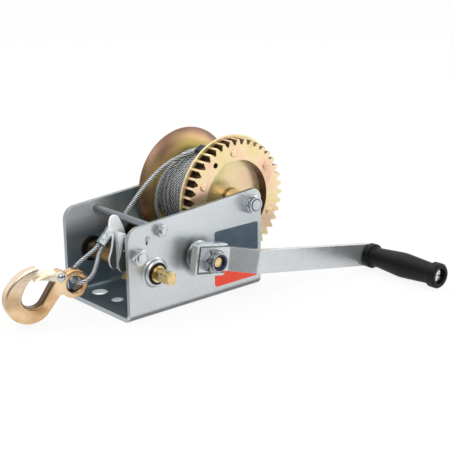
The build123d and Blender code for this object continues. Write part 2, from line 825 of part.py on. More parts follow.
def latch_spring():
    # A small coil under the latch's web, with two short legs
    wire = 0.6
    at = (-26.0, 11.0)
    radius = 1.4
    pitch = 1.1
    turns = 3.25
    leg = 1.5

    def place(angle):
        return radius, pitch * (angle / (2 * pi) - turns / 2)

    edges, start, out, end, on = winding(at, place, 0.0, 2 * pi * turns, 4)
    edges = [Line(start - out * leg, start)] + edges + [Line(end, end + on * leg)]
    body, path = swept_wire(edges, wire / 2)
    print("latch spring: least gap", round(least_gap(path, wire, 300), 2), "mm")
    return on_hook(body)


# Cable end


def ferrule_frame():
    # The ferrule's lower end, its direction up the cable and its long side
    strand = Vector(*ferrule_strand)
    up = (Vector(*lead_bends[1]) - strand).normalized()
    side = Vector(*ferrule_side)
    wide = (side - up * side.dot(up)).normalized()
    return strand - wide * strand_apart / 2, up, wide


def ferrule():
    low, up, wide = ferrule_frame()
    body = extrude(Plane(origin=low, x_dir=wide, z_dir=up) * SlotOverall(*ferrule_section), ferrule_length)
    ends = [face for face in body.faces() if abs(face.normal_at().dot(up)) > 0.99]
    return chamfer(ends[0].edges() + ends[1].edges(), 0.6)


def cable_tail():
    # The cut end of the cable, just above the ferrule
    low, up, wide = ferrule_frame()
    top = low + up * (ferrule_length + fit_gap) - wide * strand_apart / 2
    return extrude(Plane(origin=top, z_dir=up) * Circle(cable / 2), tail_length)


def cable_tube(name, edges, radii):
    body, path = swept_wire(edges, cable / 2)
    share = body.volume / (pi * cable ** 2 / 4 * path.length)
    print(name, "radii", [round(r, 1) for r in radii], "length", round(path.length, 1), "mm",
          "volume against section x length", round(share, 4))
    return body


def cable_lead():
    # A loose turn over the winding, off its top, two bends, then straight under the tie bolt into the ferrule
    low, up, wide = ferrule_frame()
    top = low + up * (ferrule_length + fit_gap) + wide * strand_apart / 2
    bed = wound_radius + cable + lead_gap

    def place(angle):
        return bed + eased(lead_lift, degrees(angle)), eased(lead_across, degrees(angle))

    first, last = radians(lead_lift[0][0]), radians(lead_lift[-1][0])
    edges, start, out, end, on = winding(drum_at, place, first, last, 12)
    points = [tuple(end), *lead_bends, tuple(top)]
    radii = corner_radii(points)
    route = FilletPolyline(*points, radius=radii)
    print("lead route", [tuple(round(c, 1) for c in p) for p in points])
    return cable_tube("cable lead", [Line(start - out * cable, start)] + edges + list(route.edges()), radii)


def cable_loop():
    # Out of the ferrule, in front of the eye, through it and back behind it
    low, up, wide = ferrule_frame()
    near_strand = low - up * fit_gap + wide * strand_apart / 2
    far_strand = low - up * fit_gap - wide * strand_apart / 2
    through = Vector(sin(radians(hook_turn)), cos(radians(hook_turn)), 0)
    foot = Vector(*eye_at) + (low - Vector(*eye_at)).normalized() * 2.0
    eye = [foot - through * loop_reach, foot + through * loop_reach]
    points = [near_strand, near_strand - up * 7, *loop_near, *eye, *loop_far, far_strand - up * 6, far_strand]
    points = [tuple(Vector(*p)) for p in points]
    print("loop route", [tuple(round(c, 2) for c in p) for p in points])
    radii = corner_radii(points)
    return cable_tube("cable loop", list(FilletPolyline(*points, radius=radii).edges()), radii)


# Everything in its place

crank_tooth_angle = mesh_angle(drum_at, drum_teeth, drum_tooth_angle, crank_at, pinion_teeth)
nose_home = about_pawl(nose_rest, pawl_swing)
slow_tooth_angle = degrees(atan2(nose_home[1] - slow_at[1], nose_home[0] - slow_at[0])) + 180 / pinion_teeth
middle_tooth_angle = mesh_angle(slow_at, pinion_teeth, slow_tooth_angle, crank_at, middle_teeth)

save("frame", frame_sheet())
for shaft, at in (("crank", crank_at), ("slow", slow_at)):
    save(f"{shaft}_near_bush", shaft_bush(at, -1))
    save(f"{shaft}_far_bush", shaft_bush(at, 1))
    save(f"{shaft}_circlip", circlip(at))

save("tie_bolt", through_bolt(tie_at, m6, m6_flats, 4.2, near - m6_nut - 2.5))
save("tie_sleeve", tube(tie_at, far_inside - fit_gap, near_inside + fit_gap, tie_radius, tie_bore))
save("tie_nut", plain_nut(tie_at, m6_flats, m6_nut, m6))
save("pawl_bolt", pawl_bolt())
save("pawl_nut", plain_nut(pawl_at, m8_flats, m8_nut, m8))
save("axle_bolt", through_bolt(drum_at, m10 - 0.05, m10_flats, 6.4, near - m10_nut - 0.6))
save("axle_sleeve", tube(drum_at, far_inside - fit_gap, near_inside + fit_gap, axle_sleeve_radius, m10 + 0.2))
axle_nut, axle_ring = lock_nut(drum_at, near - fit_gap, m10_flats, m10_nut, m10, 0.4 * m10_flats)
save("axle_nut", axle_nut)
save("axle_nut_ring", axle_ring)
save("drum_spacers", drum_spacers())

save("drum_barrel", drum_barrel())
save("near_flange", near_flange())
save("far_flange", far_flange())
save("drum_gear", drum_gear())
save("gear_rivets", gear_rivets())
save("drum_bushes", Compound(children=[drum_bush(gear_back, -1, hub_ends[0]),
                                       drum_bush(far_flange_inside + far_flange_sheet, 1, hub_ends[1])]))
save("cable_core", cable_core())
save("cable_winding", cable_winding())
save("cable_clamp", cable_clamp())

save("crank_shaft", crank_shaft())
save("drive_pinion", pinion(crank_at, pinion_back, pinion_back - pinion_width, crank_tooth_angle))
save("middle_gear", middle_gear(middle_tooth_angle))
save("drive_bracket", drive_bracket())
save("crank_arm", crank_arm())
arm_face = arm_inner_y - arm_thick - fit_gap
crank_nut, crank_ring = lock_nut((0, 0), arm_face, m12_flats, m12_nut, m12, 0.425 * m12_flats)
save("crank_nut", on_crank(crank_nut))
save("crank_nut_ring", on_crank(crank_ring))
save("grip_bolt", grip_bolt())
save("hand_grip", hand_grip())

save("slow_shaft", slow_shaft())
save("slow_pinion", pinion(slow_at, *slow_pinion_span, slow_tooth_angle))

save("pawl", pawl())
save("pawl_spring", pawl_spring())

save("hook", hook_body())
save("latch_rivet", latch_rivet())
save("hook_latch", hook_latch())
save("latch_spring", latch_spring())
save("ferrule", ferrule())
save("cable_tail", cable_tail())
save("cable_lead", cable_lead())
save("cable_loop", cable_loop())
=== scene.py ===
import math
import bpy
from mathutils import Matrix, Vector


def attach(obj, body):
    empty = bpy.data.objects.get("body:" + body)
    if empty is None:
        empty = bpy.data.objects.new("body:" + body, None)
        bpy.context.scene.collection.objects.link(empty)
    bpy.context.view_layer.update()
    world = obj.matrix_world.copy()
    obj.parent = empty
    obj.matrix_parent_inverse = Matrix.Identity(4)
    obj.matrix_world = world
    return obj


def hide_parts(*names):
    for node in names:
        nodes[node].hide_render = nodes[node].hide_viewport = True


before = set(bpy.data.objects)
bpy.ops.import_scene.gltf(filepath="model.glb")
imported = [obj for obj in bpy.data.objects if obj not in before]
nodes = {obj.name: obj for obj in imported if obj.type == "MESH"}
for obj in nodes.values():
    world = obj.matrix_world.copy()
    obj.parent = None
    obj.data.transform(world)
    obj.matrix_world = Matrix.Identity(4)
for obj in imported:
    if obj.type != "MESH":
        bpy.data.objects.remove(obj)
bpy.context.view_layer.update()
scene = bpy.context.scene
scene.view_settings.view_transform = "Standard"
mm = 0.001
print("winch: frame in,", len(nodes), "nodes")

# the camera, at the photo's angle
shot = {"target": (0.0772, 0.0, 0.0469), "azimuth": -41.11, "elevation": 16.76, "distance": 1.0523,
        "roll": -0.53, "lens": 85.74, "sensor": 36.0, "clip": (0.02, 100.0)}


def makeCamera(look):
    turn, lift, roll = (math.radians(look[key]) for key in ("azimuth", "elevation", "roll"))
    back = Vector((math.sin(turn) * math.cos(lift), -math.cos(turn) * math.cos(lift), math.sin(lift)))
    level = Vector((math.cos(turn), math.sin(turn), 0.0))
    rise = back.cross(level)
    right = level * math.cos(roll) + rise * math.sin(roll)
    up = rise * math.cos(roll) - level * math.sin(roll)
    data = bpy.data.cameras.new("photo_camera")
    data.sensor_width = look["sensor"]
    data.lens = look["lens"]
    data.clip_start, data.clip_end = look["clip"]
    made = bpy.data.objects.new("photo_camera", data)
    axes = Matrix((right, up, back)).transposed().to_4x4()
    made.matrix_world = Matrix.Translation(Vector(look["target"]) + back * look["distance"]) @ axes
    scene.collection.objects.link(made)
    scene.camera = made


makeCamera(shot)
print("winch: camera set")


# small helpers for shader trees
noiseSpan = (0.3, 0.7)  # where most of a cloud's values lie
edgeSpan = (0.995, 0.80)  # from a square face to a rounded edge


def tone(red, green, blue):  # a screen colour on the shader's scale
    def one(value):
        value /= 255.0
        return value / 12.92 if value <= 0.04045 else ((value + 0.055) / 1.055) ** 2.4
    return (one(red), one(green), one(blue), 1.0)


def span(low, high):  # two places in millimetres
    return low * mm, high * mm


def addNode(tree, kind, sockets=None, **settings):
    made = tree.nodes.new(kind)
    for key, value in settings.items():
        setattr(made, key, value)
    for key, value in (sockets or {}).items():
        if isinstance(value, bpy.types.NodeSocket):
            tree.links.new(value, made.inputs[key])
        else:
            made.inputs[key].default_value = value
    return made


def newFinish(name):
    finish = bpy.data.materials.new(name)
    finish.use_nodes = True
    tree = finish.node_tree
    shader = tree.nodes["Principled BSDF"]
    place = addNode(tree, "ShaderNodeTexCoord").outputs["Object"]
    return finish, tree, shader, place


def plug(tree, shader, **sockets):
    for key, value in sockets.items():
        tree.links.new(value, shader.inputs[key.replace("_", " ")])


def calc(tree, what, a, b=0.0, c=0.0):
    return addNode(tree, "ShaderNodeMath", {0: a, 1: b, 2: c}, operation=what).outputs[0]


def times(tree, a, b):
    return calc(tree, "MULTIPLY", a, b)


def weigh(tree, a, shareA, b, shareB):
    return calc(tree, "MULTIPLY_ADD", a, shareA, times(tree, b, shareB))


def remap(tree, value, fromLow, fromHigh, toLow, toHigh):
    sockets = {"Value": value, "From Min": fromLow, "From Max": fromHigh, "To Min": toLow, "To Max": toHigh}
    return addNode(tree, "ShaderNodeMapRange", sockets).outputs["Result"]


def climb(tree, value, over, top=1.0):
    return remap(tree, value, *over, 0.0, top)


def fall(tree, value, over, top=1.0):
    return remap(tree, value, *over, top, 0.0)


def between(tree, value, low, high, soft):
    up = climb(tree, value, (low - soft, low + soft))
    return times(tree, up, fall(tree, value, (high - soft, high + soft)))


def vectorMath(tree, what, a, b=(0.0, 0.0, 0.0)):
    return addNode(tree, "ShaderNodeVectorMath", {0: a, 1: b}, operation=what).outputs


def dot(tree, a, b):
    return vectorMath(tree, "DOT_PRODUCT", a, b)["Value"]


def parts(tree, vector):
    return addNode(tree, "ShaderNodeSeparateXYZ", {"Vector": vector}).outputs


def fromAxis(tree, place, axis):  # distance from an axis that runs along Y
    apart = vectorMath(tree, "SUBTRACT", place, axis)["Vector"]
    flat = vectorMath(tree, "MULTIPLY", apart, (1.0, 0.0, 1.0))["Vector"]
    return vectorMath(tree, "LENGTH", flat)["Value"]


def facing(tree, way):  # how far a face looks along a direction of its own piece
    return dot(tree, addNode(tree, "ShaderNodeTexCoord").outputs["Normal"], way)


def faceNormal(tree):
    return parts(tree, addNode(tree, "ShaderNodeNewGeometry").outputs["True Normal"])


def stretch(tree, place, scale):
    return addNode(tree, "ShaderNodeMapping", {"Vector": place, "Scale": scale}).outputs["Vector"]


def cloud(tree, place, scale, detail, rough):
    sockets = {"Vector": place, "Scale": scale, "Detail": detail, "Roughness": rough}
    return addNode(tree, "ShaderNodeTexNoise", sockets).outputs["Fac"]


def mixColour(tree, share, a, b):
    made = addNode(tree, "ShaderNodeMix", {0: share, 6: a, 7: b}, data_type="RGBA", blend_type="MIX")
    return made.outputs[2]


def ramp(tree, value, stops):
    made = addNode(tree, "ShaderNodeValToRGB", {"Fac": value})
    points = made.color_ramp.elements
    while len(points) < len(stops):
        points.new(0.5)
    for point, (at, colour) in zip(points, stops):
        point.position = at
        point.color = colour
    return made.outputs["Color"]


def bump(tree, height, depth, strength, normal=None):
    sockets = {"Height": height, "Distance": depth, "Strength": strength}
    if normal is not None:
        sockets["Normal"] = normal
    return addNode(tree, "ShaderNodeBump", sockets).outputs["Normal"]


# this mask lightens rounded edges in the finishes: painted highlight, with wear
def edgeWearAndSheen(tree, reach):  # how far a spot is rounded off, and the rounded normal
    soft = addNode(tree, "ShaderNodeBevel", {"Radius": reach}, samples=4).outputs["Normal"]
    plain = addNode(tree, "ShaderNodeNewGeometry").outputs["Normal"]
    return climb(tree, dot(tree, soft, plain), edgeSpan), soft


# plated sheet: cloudy zinc with a fine rolled grain along X, and edges lightened by wear and painted highlight
sheetLook = {"pale": tone(216, 220, 223), "deep": tone(204, 209, 212), "edge": tone(250, 251, 252),
             "metal": 0.86, "rough": (0.28, 0.40), "edgeReach": 0.9 * mm, "edgeShare": 0.5,
             "broad": (22.0, 3.0, 0.55), "fine": (260.0, 2.0, 0.6), "fineShare": 0.35,
             "rolled": (70.0, 1600.0, 1600.0), "grain": 0.012 * mm,
             "inside": {"half": span(46.0, 46.3), "floor": span(3.6, 3.8), "mouth": span(-77.0, -63.0),
                        "mouthShare": 0.8, "rise": span(56.0, 74.0), "riseShare": 0.85,
                        "fade": span(-44.0, -20.0), "matt": 0.5, "tint": tone(150, 168, 180)},
             "collarShade": {"axis": (0.0, 0.0, 0.0464), "reach": span(14.5, 20.5), "share": 0.85,
                        "face": span(-49.8, -49.4), "side": span(-9.0, -3.0), "tint": tone(70, 76, 79)},
             "sill": {"front": span(-76.7, -76.3), "share": 0.9, "top": span(3.8, 4.6),
                      "tint": tone(172, 180, 184)},
             "rim": {"turn": (0.35, 0.75), "share": 0.8, "floor": span(6.0, 8.0), "tint": tone(128, 136, 140)}}
barLook = {"pale": tone(208, 212, 214), "deep": tone(196, 201, 204), "edge": tone(232, 235, 237),
           "metal": 0.78, "rough": (0.18, 0.30), "edgeReach": 0.6 * mm, "edgeShare": 0.5,
           "broad": (22.0, 3.0, 0.55), "fine": (260.0, 2.0, 0.6), "fineShare": 0.35,
           "rolled": (70.0, 1600.0, 1600.0), "grain": 0.008 * mm}
pawlLook = dict(barLook, pale=tone(246, 248, 249), deep=tone(236, 239, 241), edge=tone(252, 252, 252), metal=0.25,
                foot={"front": (-0.9, -0.5), "frontShare": 0.45, "nearCheek": span(-36.0, -32.0),
                      "cheekShare": 0.8, "rise": span(70.0, 82.0), "tint": tone(66, 71, 73)})
tieLook = dict(barLook, pale=tone(134, 140, 144), deep=tone(106, 113, 118), edge=tone(172, 177, 180))


def insideSkin(tree, shader, place, body, look):  # painted shade between the plates, clearing towards the mouth
    dull = look["inside"]
    spot = parts(tree, place)
    held = fall(tree, calc(tree, "ABSOLUTE", spot["Y"]), dull["half"])
    held = times(tree, held, climb(tree, spot["Z"], dull["floor"]))
    high = climb(tree, spot["Z"], dull["rise"], dull["riseShare"])
    high = times(tree, high, fall(tree, spot["X"], dull["fade"]))
    clear = remap(tree, spot["X"], *dull["mouth"], dull["mouthShare"], 1.0)
    clear = times(tree, clear, calc(tree, "SUBTRACT", 1.0, high))
    metal = calc(tree, "MULTIPLY_ADD", times(tree, held, high), -dull["matt"], look["metal"])
    plug(tree, shader, Metallic=metal)
    return mixColour(tree, times(tree, held, clear), body, dull["tint"])


def paintedCollarShade(tree, place, body, paintedShade):  # painted shade over one side of the crank's collar
    spot = parts(tree, place)
    film = fall(tree, fromAxis(tree, place, paintedShade["axis"]), paintedShade["reach"], paintedShade["share"])
    film = times(tree, film, fall(tree, spot["Y"], paintedShade["face"]))
    film = times(tree, film, fall(tree, spot["X"], paintedShade["side"]))
    return mixColour(tree, film, body, paintedShade["tint"])


def mouthSill(tree, place, body, sill):  # cut face across the mouth of the base
    spot = parts(tree, place)
    held = fall(tree, spot["X"], sill["front"], sill["share"])
    held = times(tree, held, fall(tree, spot["Z"], sill["top"]))
    return mixColour(tree, held, body, sill["tint"])


def shearedRim(tree, place, body, rim):  # cut edges of the side plates
    held = fall(tree, calc(tree, "ABSOLUTE", faceNormal(tree)["Y"]), rim["turn"], rim["share"])
    held = times(tree, held, climb(tree, parts(tree, place)["Z"], rim["floor"]))
    return mixColour(tree, held, body, rim["tint"])


def shadedFoot(tree, place, body, foot):  # painted shade below the pawl's tongue, least on its outer front
    spot = parts(tree, place)
    held = remap(tree, faceNormal(tree)["X"], *foot["front"], foot["frontShare"], 1.0)
    held = calc(tree, "MAXIMUM", held, fall(tree, spot["Y"], foot["nearCheek"], foot["cheekShare"]))
    held = times(tree, held, fall(tree, spot["Z"], foot["rise"]))
    return mixColour(tree, held, body, foot["tint"])


def zincSheet(name, look):
    finish, tree, shader, place = newFinish(name)
    broad = cloud(tree, place, *look["broad"])
    fine = cloud(tree, place, *look["fine"])
    grain = cloud(tree, stretch(tree, place, look["rolled"]), 1.0, 3.0, 0.6)
    wearAndSheen, soft = edgeWearAndSheen(tree, look["edgeReach"])
    patch = weigh(tree, fine, look["fineShare"], broad, 1.0 - look["fineShare"])
    body = ramp(tree, patch, [(0.36, look["deep"]), (0.62, look["pale"])])
    shader.inputs["Metallic"].default_value = look["metal"]
    if "inside" in look:
        body = insideSkin(tree, shader, place, body, look)
    for key, tinted in (("collarShade", paintedCollarShade), ("sill", mouthSill), ("rim", shearedRim), ("foot", shadedFoot)):
        if key in look:
            body = tinted(tree, place, body, look[key])
    # rounded edges lighter: painted highlight, with wear
    colour = mixColour(tree, times(tree, wearAndSheen, look["edgeShare"]), body, look["edge"])
    rough = remap(tree, weigh(tree, grain, 0.5, broad, 0.5), *noiseSpan, *look["rough"])
    plug(tree, shader, Base_Color=colour, Roughness=rough, Normal=bump(tree, grain, look["grain"], 0.5, soft))
    return finish


# yellow passivate: gold that drifts to green and pink
goldLook = {"stops": [(0.24, tone(212, 202, 146)), (0.40, tone(238, 218, 162)), (0.54, tone(244, 220, 178)),
                      (0.68, tone(244, 208, 174)), (0.84, tone(220, 182, 150))],
            "edge": tone(252, 238, 210), "edgeReach": 0.5 * mm, "edgeShare": 0.5, "rough": (0.22, 0.36),
            "metal": 0.72, "drift": 34.0, "driftShare": 1.25, "shift": -0.155, "fleck": (420.0, 2.0, 0.6),
            "fleckShare": 0.05, "fleckDepth": 0.01 * mm, "axis": (0.0610, 0.0, 0.0837)}
gearLook = dict(goldLook, toothGapShade={"turn": (0.35, 0.75), "share": 0.92, "tip": span(56.6, 57.0),
                                  "tint": tone(66, 43, 20)})
rimLook = dict(goldLook, behind={"turn": (0.4, 0.8), "share": 0.95, "reach": span(46.0, 56.6), "soft": 0.8 * mm,
                                 "tint": tone(58, 38, 18)})
# the far flange's gold is set darker than the near flange's: painted shade, with the passivate's hues running out
# in rings
flangeLook = dict(goldLook, rough=(0.28, 0.42), metal=0.85, edge=tone(214, 184, 150), drift=26.0,
                  rings={"share": 0.62, "reach": span(36.0, 58.0), "hue": (0.08, 0.95)},
                  stops=[(0.16, tone(164, 152, 82)), (0.34, tone(196, 174, 104)), (0.52, tone(196, 164, 116)),
                         (0.70, tone(146, 114, 93)), (0.90, tone(118, 90, 75))])
bronzeLook = dict(goldLook, rough=(0.18, 0.34), metal=1.0, drift=120.0,
                  stops=[(0.25, tone(120, 92, 50)), (0.50, tone(150, 116, 66)), (0.80, tone(172, 126, 80))])
shaftLook = dict(bronzeLook, shadeBetweenPlates={"end": span(46.3, 49.3), "share": 0.92, "tint": tone(104, 74, 42)},
                 stops=[(0.25, tone(196, 174, 116)), (0.45, tone(226, 200, 144)), (0.60, tone(238, 210, 158)),
                        (0.80, tone(206, 166, 122)), (0.95, tone(168, 128, 94))])
latchLook = dict(goldLook, rough=(0.34, 0.48), edge=tone(252, 246, 230), drift=60.0,
                 stops=[(0.24, tone(228, 212, 176)), (0.45, tone(246, 236, 216)), (0.70, tone(250, 243, 228)),
                        (0.90, tone(234, 214, 184))])


def yellowZinc(name, look):
    finish, tree, shader, place = newFinish(name)
    drift = cloud(tree, place, look["drift"], 2.0, 0.5)
    fleck = cloud(tree, place, *look["fleck"])
    wearAndSheen, soft = edgeWearAndSheen(tree, look["edgeReach"])
    hue = calc(tree, "MULTIPLY_ADD", drift, look["driftShare"], look["shift"])
    hue = calc(tree, "MULTIPLY_ADD", fleck, look["fleckShare"], hue)
    out = fromAxis(tree, place, look["axis"])
    if "rings" in look:  # the tint also runs out from the drum's axis in rings
        rings = look["rings"]
        ring = remap(tree, out, *rings["reach"], *rings["hue"])
        hue = weigh(tree, hue, 1.0 - rings["share"], ring, rings["share"])
    body = ramp(tree, hue, look["stops"])
    if "toothGapShade" in look:  # painted shade on the flanks below the tips of the teeth
        toothShade = look["toothGapShade"]
        held = fall(tree, calc(tree, "ABSOLUTE", facing(tree, (0.0, 1.0, 0.0))), toothShade["turn"], toothShade["share"])
        held = times(tree, held, fall(tree, out, toothShade["tip"]))
        body = mixColour(tree, held, body, toothShade["tint"])
    if "behind" in look:  # painted shade where the face lies behind the teeth
        toothShade = look["behind"]
        held = climb(tree, facing(tree, (0.0, -1.0, 0.0)), toothShade["turn"], toothShade["share"])
        held = times(tree, held, between(tree, out, *toothShade["reach"], toothShade["soft"]))
        body = mixColour(tree, held, body, toothShade["tint"])
    if "shadeBetweenPlates" in look:  # painted shade where the shaft runs between the plates
        paintedShade = look["shadeBetweenPlates"]
        held = fall(tree, calc(tree, "ABSOLUTE", parts(tree, place)["Y"]), paintedShade["end"], paintedShade["share"])
        body = mixColour(tree, held, body, paintedShade["tint"])
    # rounded edges lighter: painted highlight, with wear
    colour = mixColour(tree, times(tree, wearAndSheen, look["edgeShare"]), body, look["edge"])
    rough = remap(tree, weigh(tree, fleck, 0.5, drift, 0.5), *noiseSpan, *look["rough"])
    plug(tree, shader, Base_Color=colour, Roughness=rough,
         Normal=bump(tree, fleck, look["fleckDepth"], 0.5, soft))
    shader.inputs["Metallic"].default_value = look["metal"]
    return finish


# forged hook: coppery plating over a slightly pitted skin, with a painted highlight towards the tip and painted
# shade down the back, in the bowl and in the eye
hookLook = {"stops": [(0.30, tone(168, 128, 88)), (0.46, tone(212, 172, 128)), (0.60, tone(230, 194, 152)),
                      (0.78, tone(242, 218, 180))],
            "edge": tone(255, 238, 224), "edgeReach": 0.8 * mm, "edgeShare": 0.6, "rough": (0.14, 0.32),
            "drift": (48.0, 3.0, 0.5), "driftShare": 0.90, "speck": (700.0, 3.0, 0.6), "speckShare": 0.14,
            "speckDepth": 0.012 * mm, "dent": (150.0, 2.0, 0.5), "dentDepth": 0.04 * mm,
            "eye": (-0.1013, 0.0005, 0.0316), "along": (0.978, -0.208, 0.0), "across": (0.208, 0.978, 0.0),
            "tip": {"along": span(-24.0, -32.0), "share": 0.6, "rise": span(-4.0, 9.0),
                    "tint": tone(252, 238, 220)},
            "back": {"along": span(-44.0, -52.0), "share": 0.5, "rise": span(-13.0, 0.0), "soft": 4.0 * mm,
                     "tint": tone(132, 92, 64)},
            "bowl": {"along": span(-47.5, -19.0), "rise": span(-16.0, 9.0), "soft": 1.0 * mm},
            "eyeReach": span(8.4, 9.4), "wall": (0.55, 0.85), "wallShare": 0.9, "wallShade": tone(62, 38, 18)}


def forgedPlate(name, look):
    finish, tree, shader, place = newFinish(name)
    drift = cloud(tree, place, *look["drift"])
    speck = cloud(tree, place, *look["speck"])
    dent = cloud(tree, place, *look["dent"])
    wearAndSheen, soft = edgeWearAndSheen(tree, look["edgeReach"])
    hue = weigh(tree, speck, look["speckShare"], drift, look["driftShare"])
    # rounded edges lighter: painted highlight, with wear
    body = mixColour(tree, times(tree, wearAndSheen, look["edgeShare"]), ramp(tree, hue, look["stops"]), look["edge"])
    apart = vectorMath(tree, "SUBTRACT", place, look["eye"])["Vector"]
    x, z = dot(tree, apart, look["along"]), parts(tree, apart)["Z"]
    tip = look["tip"]  # painted highlight, paler towards the tip
    held = times(tree, climb(tree, x, tip["along"], tip["share"]), climb(tree, z, tip["rise"]))
    body = mixColour(tree, held, body, tip["tint"])
    back = look["back"]  # painted shade, browner down the back
    held = times(tree, climb(tree, x, back["along"], back["share"]), between(tree, z, *back["rise"], back["soft"]))
    body = mixColour(tree, held, body, back["tint"])
    # painted shade on the inner walls of the bowl and the eye
    bowl = look["bowl"]
    inBowl = between(tree, x, *bowl["along"], bowl["soft"])
    inBowl = times(tree, inBowl, between(tree, z, *bowl["rise"], bowl["soft"]))
    out = calc(tree, "SQRT", calc(tree, "MULTIPLY_ADD", x, x, times(tree, z, z)))
    inEye = fall(tree, out, look["eyeReach"])
    wall = fall(tree, calc(tree, "ABSOLUTE", facing(tree, look["across"])), look["wall"], look["wallShare"])
    colour = mixColour(tree, times(tree, wall, calc(tree, "MAXIMUM", inBowl, inEye)), body, look["wallShade"])
    skin = bump(tree, dent, look["dentDepth"], 0.3, soft)
    plug(tree, shader, Base_Color=colour, Roughness=remap(tree, drift, *noiseSpan, *reversed(look["rough"])),
         Normal=bump(tree, speck, look["speckDepth"], 0.35, skin))
    shader.inputs["Metallic"].default_value = 1.0
    return finish


# bolts, nuts and pins: bright plating, with thread rings where a thread shows
boltLook = {"pale": tone(214, 217, 220), "deep": tone(190, 195, 199), "edge": tone(240, 242, 244),
            "edgeReach": 0.5 * mm, "edgeShare": 0.6, "rough": (0.12, 0.26), "drift": (110.0, 3.0, 0.6),
            "fine": (1200.0, 2.0, 0.5), "fineDepth": 0.008 * mm}
nutLook = dict(boltLook, pale=tone(164, 168, 172), deep=tone(124, 129, 133))
threadLook = dict(boltLook, thread=1.25 * mm, threadDepth=0.35 * mm)


def brightPlate(name, look):
    finish, tree, shader, place = newFinish(name)
    drift = cloud(tree, place, *look["drift"])
    fine = cloud(tree, place, *look["fine"])
    wearAndSheen, soft = edgeWearAndSheen(tree, look["edgeReach"])
    body = ramp(tree, drift, [(0.36, look["deep"]), (0.60, look["pale"])])
    # rounded edges lighter: painted highlight, with wear
    colour = mixColour(tree, times(tree, wearAndSheen, look["edgeShare"]), body, look["edge"])
    rough = remap(tree, weigh(tree, fine, 0.4, drift, 0.6), *noiseSpan, *look["rough"])
    skin = bump(tree, fine, look["fineDepth"], 0.5, soft)
    if "thread" in look:
        wave = calc(tree, "PINGPONG", parts(tree, place)["Y"], look["thread"] / 2)
        skin = bump(tree, calc(tree, "DIVIDE", wave, look["thread"]), look["threadDepth"], 0.6, skin)
    plug(tree, shader, Base_Color=colour, Roughness=rough, Normal=skin)
    shader.inputs["Metallic"].default_value = 1.0
    return finish


# galvanised strand: its own colour on the crest, painted shade where it lies against the next one
wireLook = {"pale": tone(246, 250, 253), "dull": tone(222, 230, 235), "deep": tone(12, 17, 20), "metal": 0.6,
            "rough": (0.26, 0.40), "dirt": (160.0, 3.0, 0.6), "crest": (0.58, 0.98), "wires": 6.0,
            "wireLay": 0.009, "wireDip": 0.92, "wireDepth": 0.03 * mm}


def strandWire(name, look):
    finish, tree, shader, place = newFinish(name)
    around = parts(tree, addNode(tree, "ShaderNodeTexCoord").outputs["UV"])
    turn = calc(tree, "MULTIPLY_ADD", around["Y"], -1.0 / look["wireLay"], around["X"])
    wave = calc(tree, "ABSOLUTE", calc(tree, "SINE", times(tree, turn, math.pi * look["wires"])))
    crest = calc(tree, "COSINE", times(tree, around["X"], math.tau))
    dirt = cloud(tree, place, *look["dirt"])
    body = ramp(tree, dirt, [(0.30, look["dull"]), (0.62, look["pale"])])
    # painted shade on the strand's flanks and, faintly, between its wires
    share = times(tree, climb(tree, crest, look["crest"]), remap(tree, wave, 0.0, 0.5, look["wireDip"], 1.0))
    plug(tree, shader, Base_Color=mixColour(tree, share, look["deep"], body),
         Roughness=remap(tree, dirt, *noiseSpan, *reversed(look["rough"])),
         Normal=bump(tree, wave, look["wireDepth"], 0.6))
    shader.inputs["Metallic"].default_value = look["metal"]
    return finish


# pressed sleeve on the cable: soft metal with die lines
sleeveLook = {"pale": tone(156, 162, 164), "deep": tone(112, 119, 123), "edge": tone(240, 241, 242),
              "edgeReach": 0.6 * mm, "edgeShare": 0.5, "rough": (0.18, 0.36), "drift": (190.0, 3.0, 0.6),
              "dieLines": (260.0, 1260.0, 420.0), "dieDepth": 0.06 * mm}


def pressedSleeve(name, look):
    finish, tree, shader, place = newFinish(name)
    drift = cloud(tree, place, *look["drift"])
    lines = cloud(tree, stretch(tree, place, look["dieLines"]), 1.0, 2.0, 0.5)
    wearAndSheen, soft = edgeWearAndSheen(tree, look["edgeReach"])
    body = ramp(tree, drift, [(0.34, look["deep"]), (0.60, look["pale"])])
    # rounded edges lighter: painted highlight, with wear
    colour = mixColour(tree, times(tree, wearAndSheen, look["edgeShare"]), body, look["edge"])
    plug(tree, shader, Base_Color=colour, Roughness=remap(tree, lines, *noiseSpan, *look["rough"]),
         Normal=bump(tree, lines, look["dieDepth"], 0.6, soft))
    shader.inputs["Metallic"].default_value = 1.0
    return finish


# moulded pieces: the grip, the bushes, the nylon rings and the clamp's paint
gripLook = {"deep": tone(8, 8, 9), "pale": tone(20, 21, 21), "rough": (0.40, 0.58), "grain": (1500.0, 2.0, 0.6),
            "grainDepth": 0.05 * mm, "drift": (60.0, 3.0, 0.6), "edgeReach": 0.6 * mm, "gloss": 0.22, "metal": 0.0}
bushLook = dict(gripLook, deep=tone(12, 12, 13), pale=tone(28, 27, 26), rough=(0.42, 0.60),
                grain=(900.0, 2.0, 0.6), grainDepth=0.02 * mm, gloss=0.30)
nylonLook = dict(gripLook, deep=tone(0, 22, 58), pale=tone(6, 44, 92), rough=(0.22, 0.38),
                 grain=(700.0, 2.0, 0.6), grainDepth=0.01 * mm, gloss=0.5)
# a paler copy of the blue nylon for the axle nut's ring: painted light shining through it
litNylonLook = dict(nylonLook, deep=tone(24, 84, 160), pale=tone(62, 130, 204))
clampLook = dict(gripLook, deep=tone(24, 28, 40), pale=tone(112, 122, 142), rough=(0.28, 0.50),
                 grain=(600.0, 2.0, 0.6), grainDepth=0.03 * mm, gloss=0.5, metal=0.8,
                 foot={"axis": (0.0610, 0.0, 0.0837), "reach": span(54.0, 56.0), "tint": tone(176, 182, 190)})


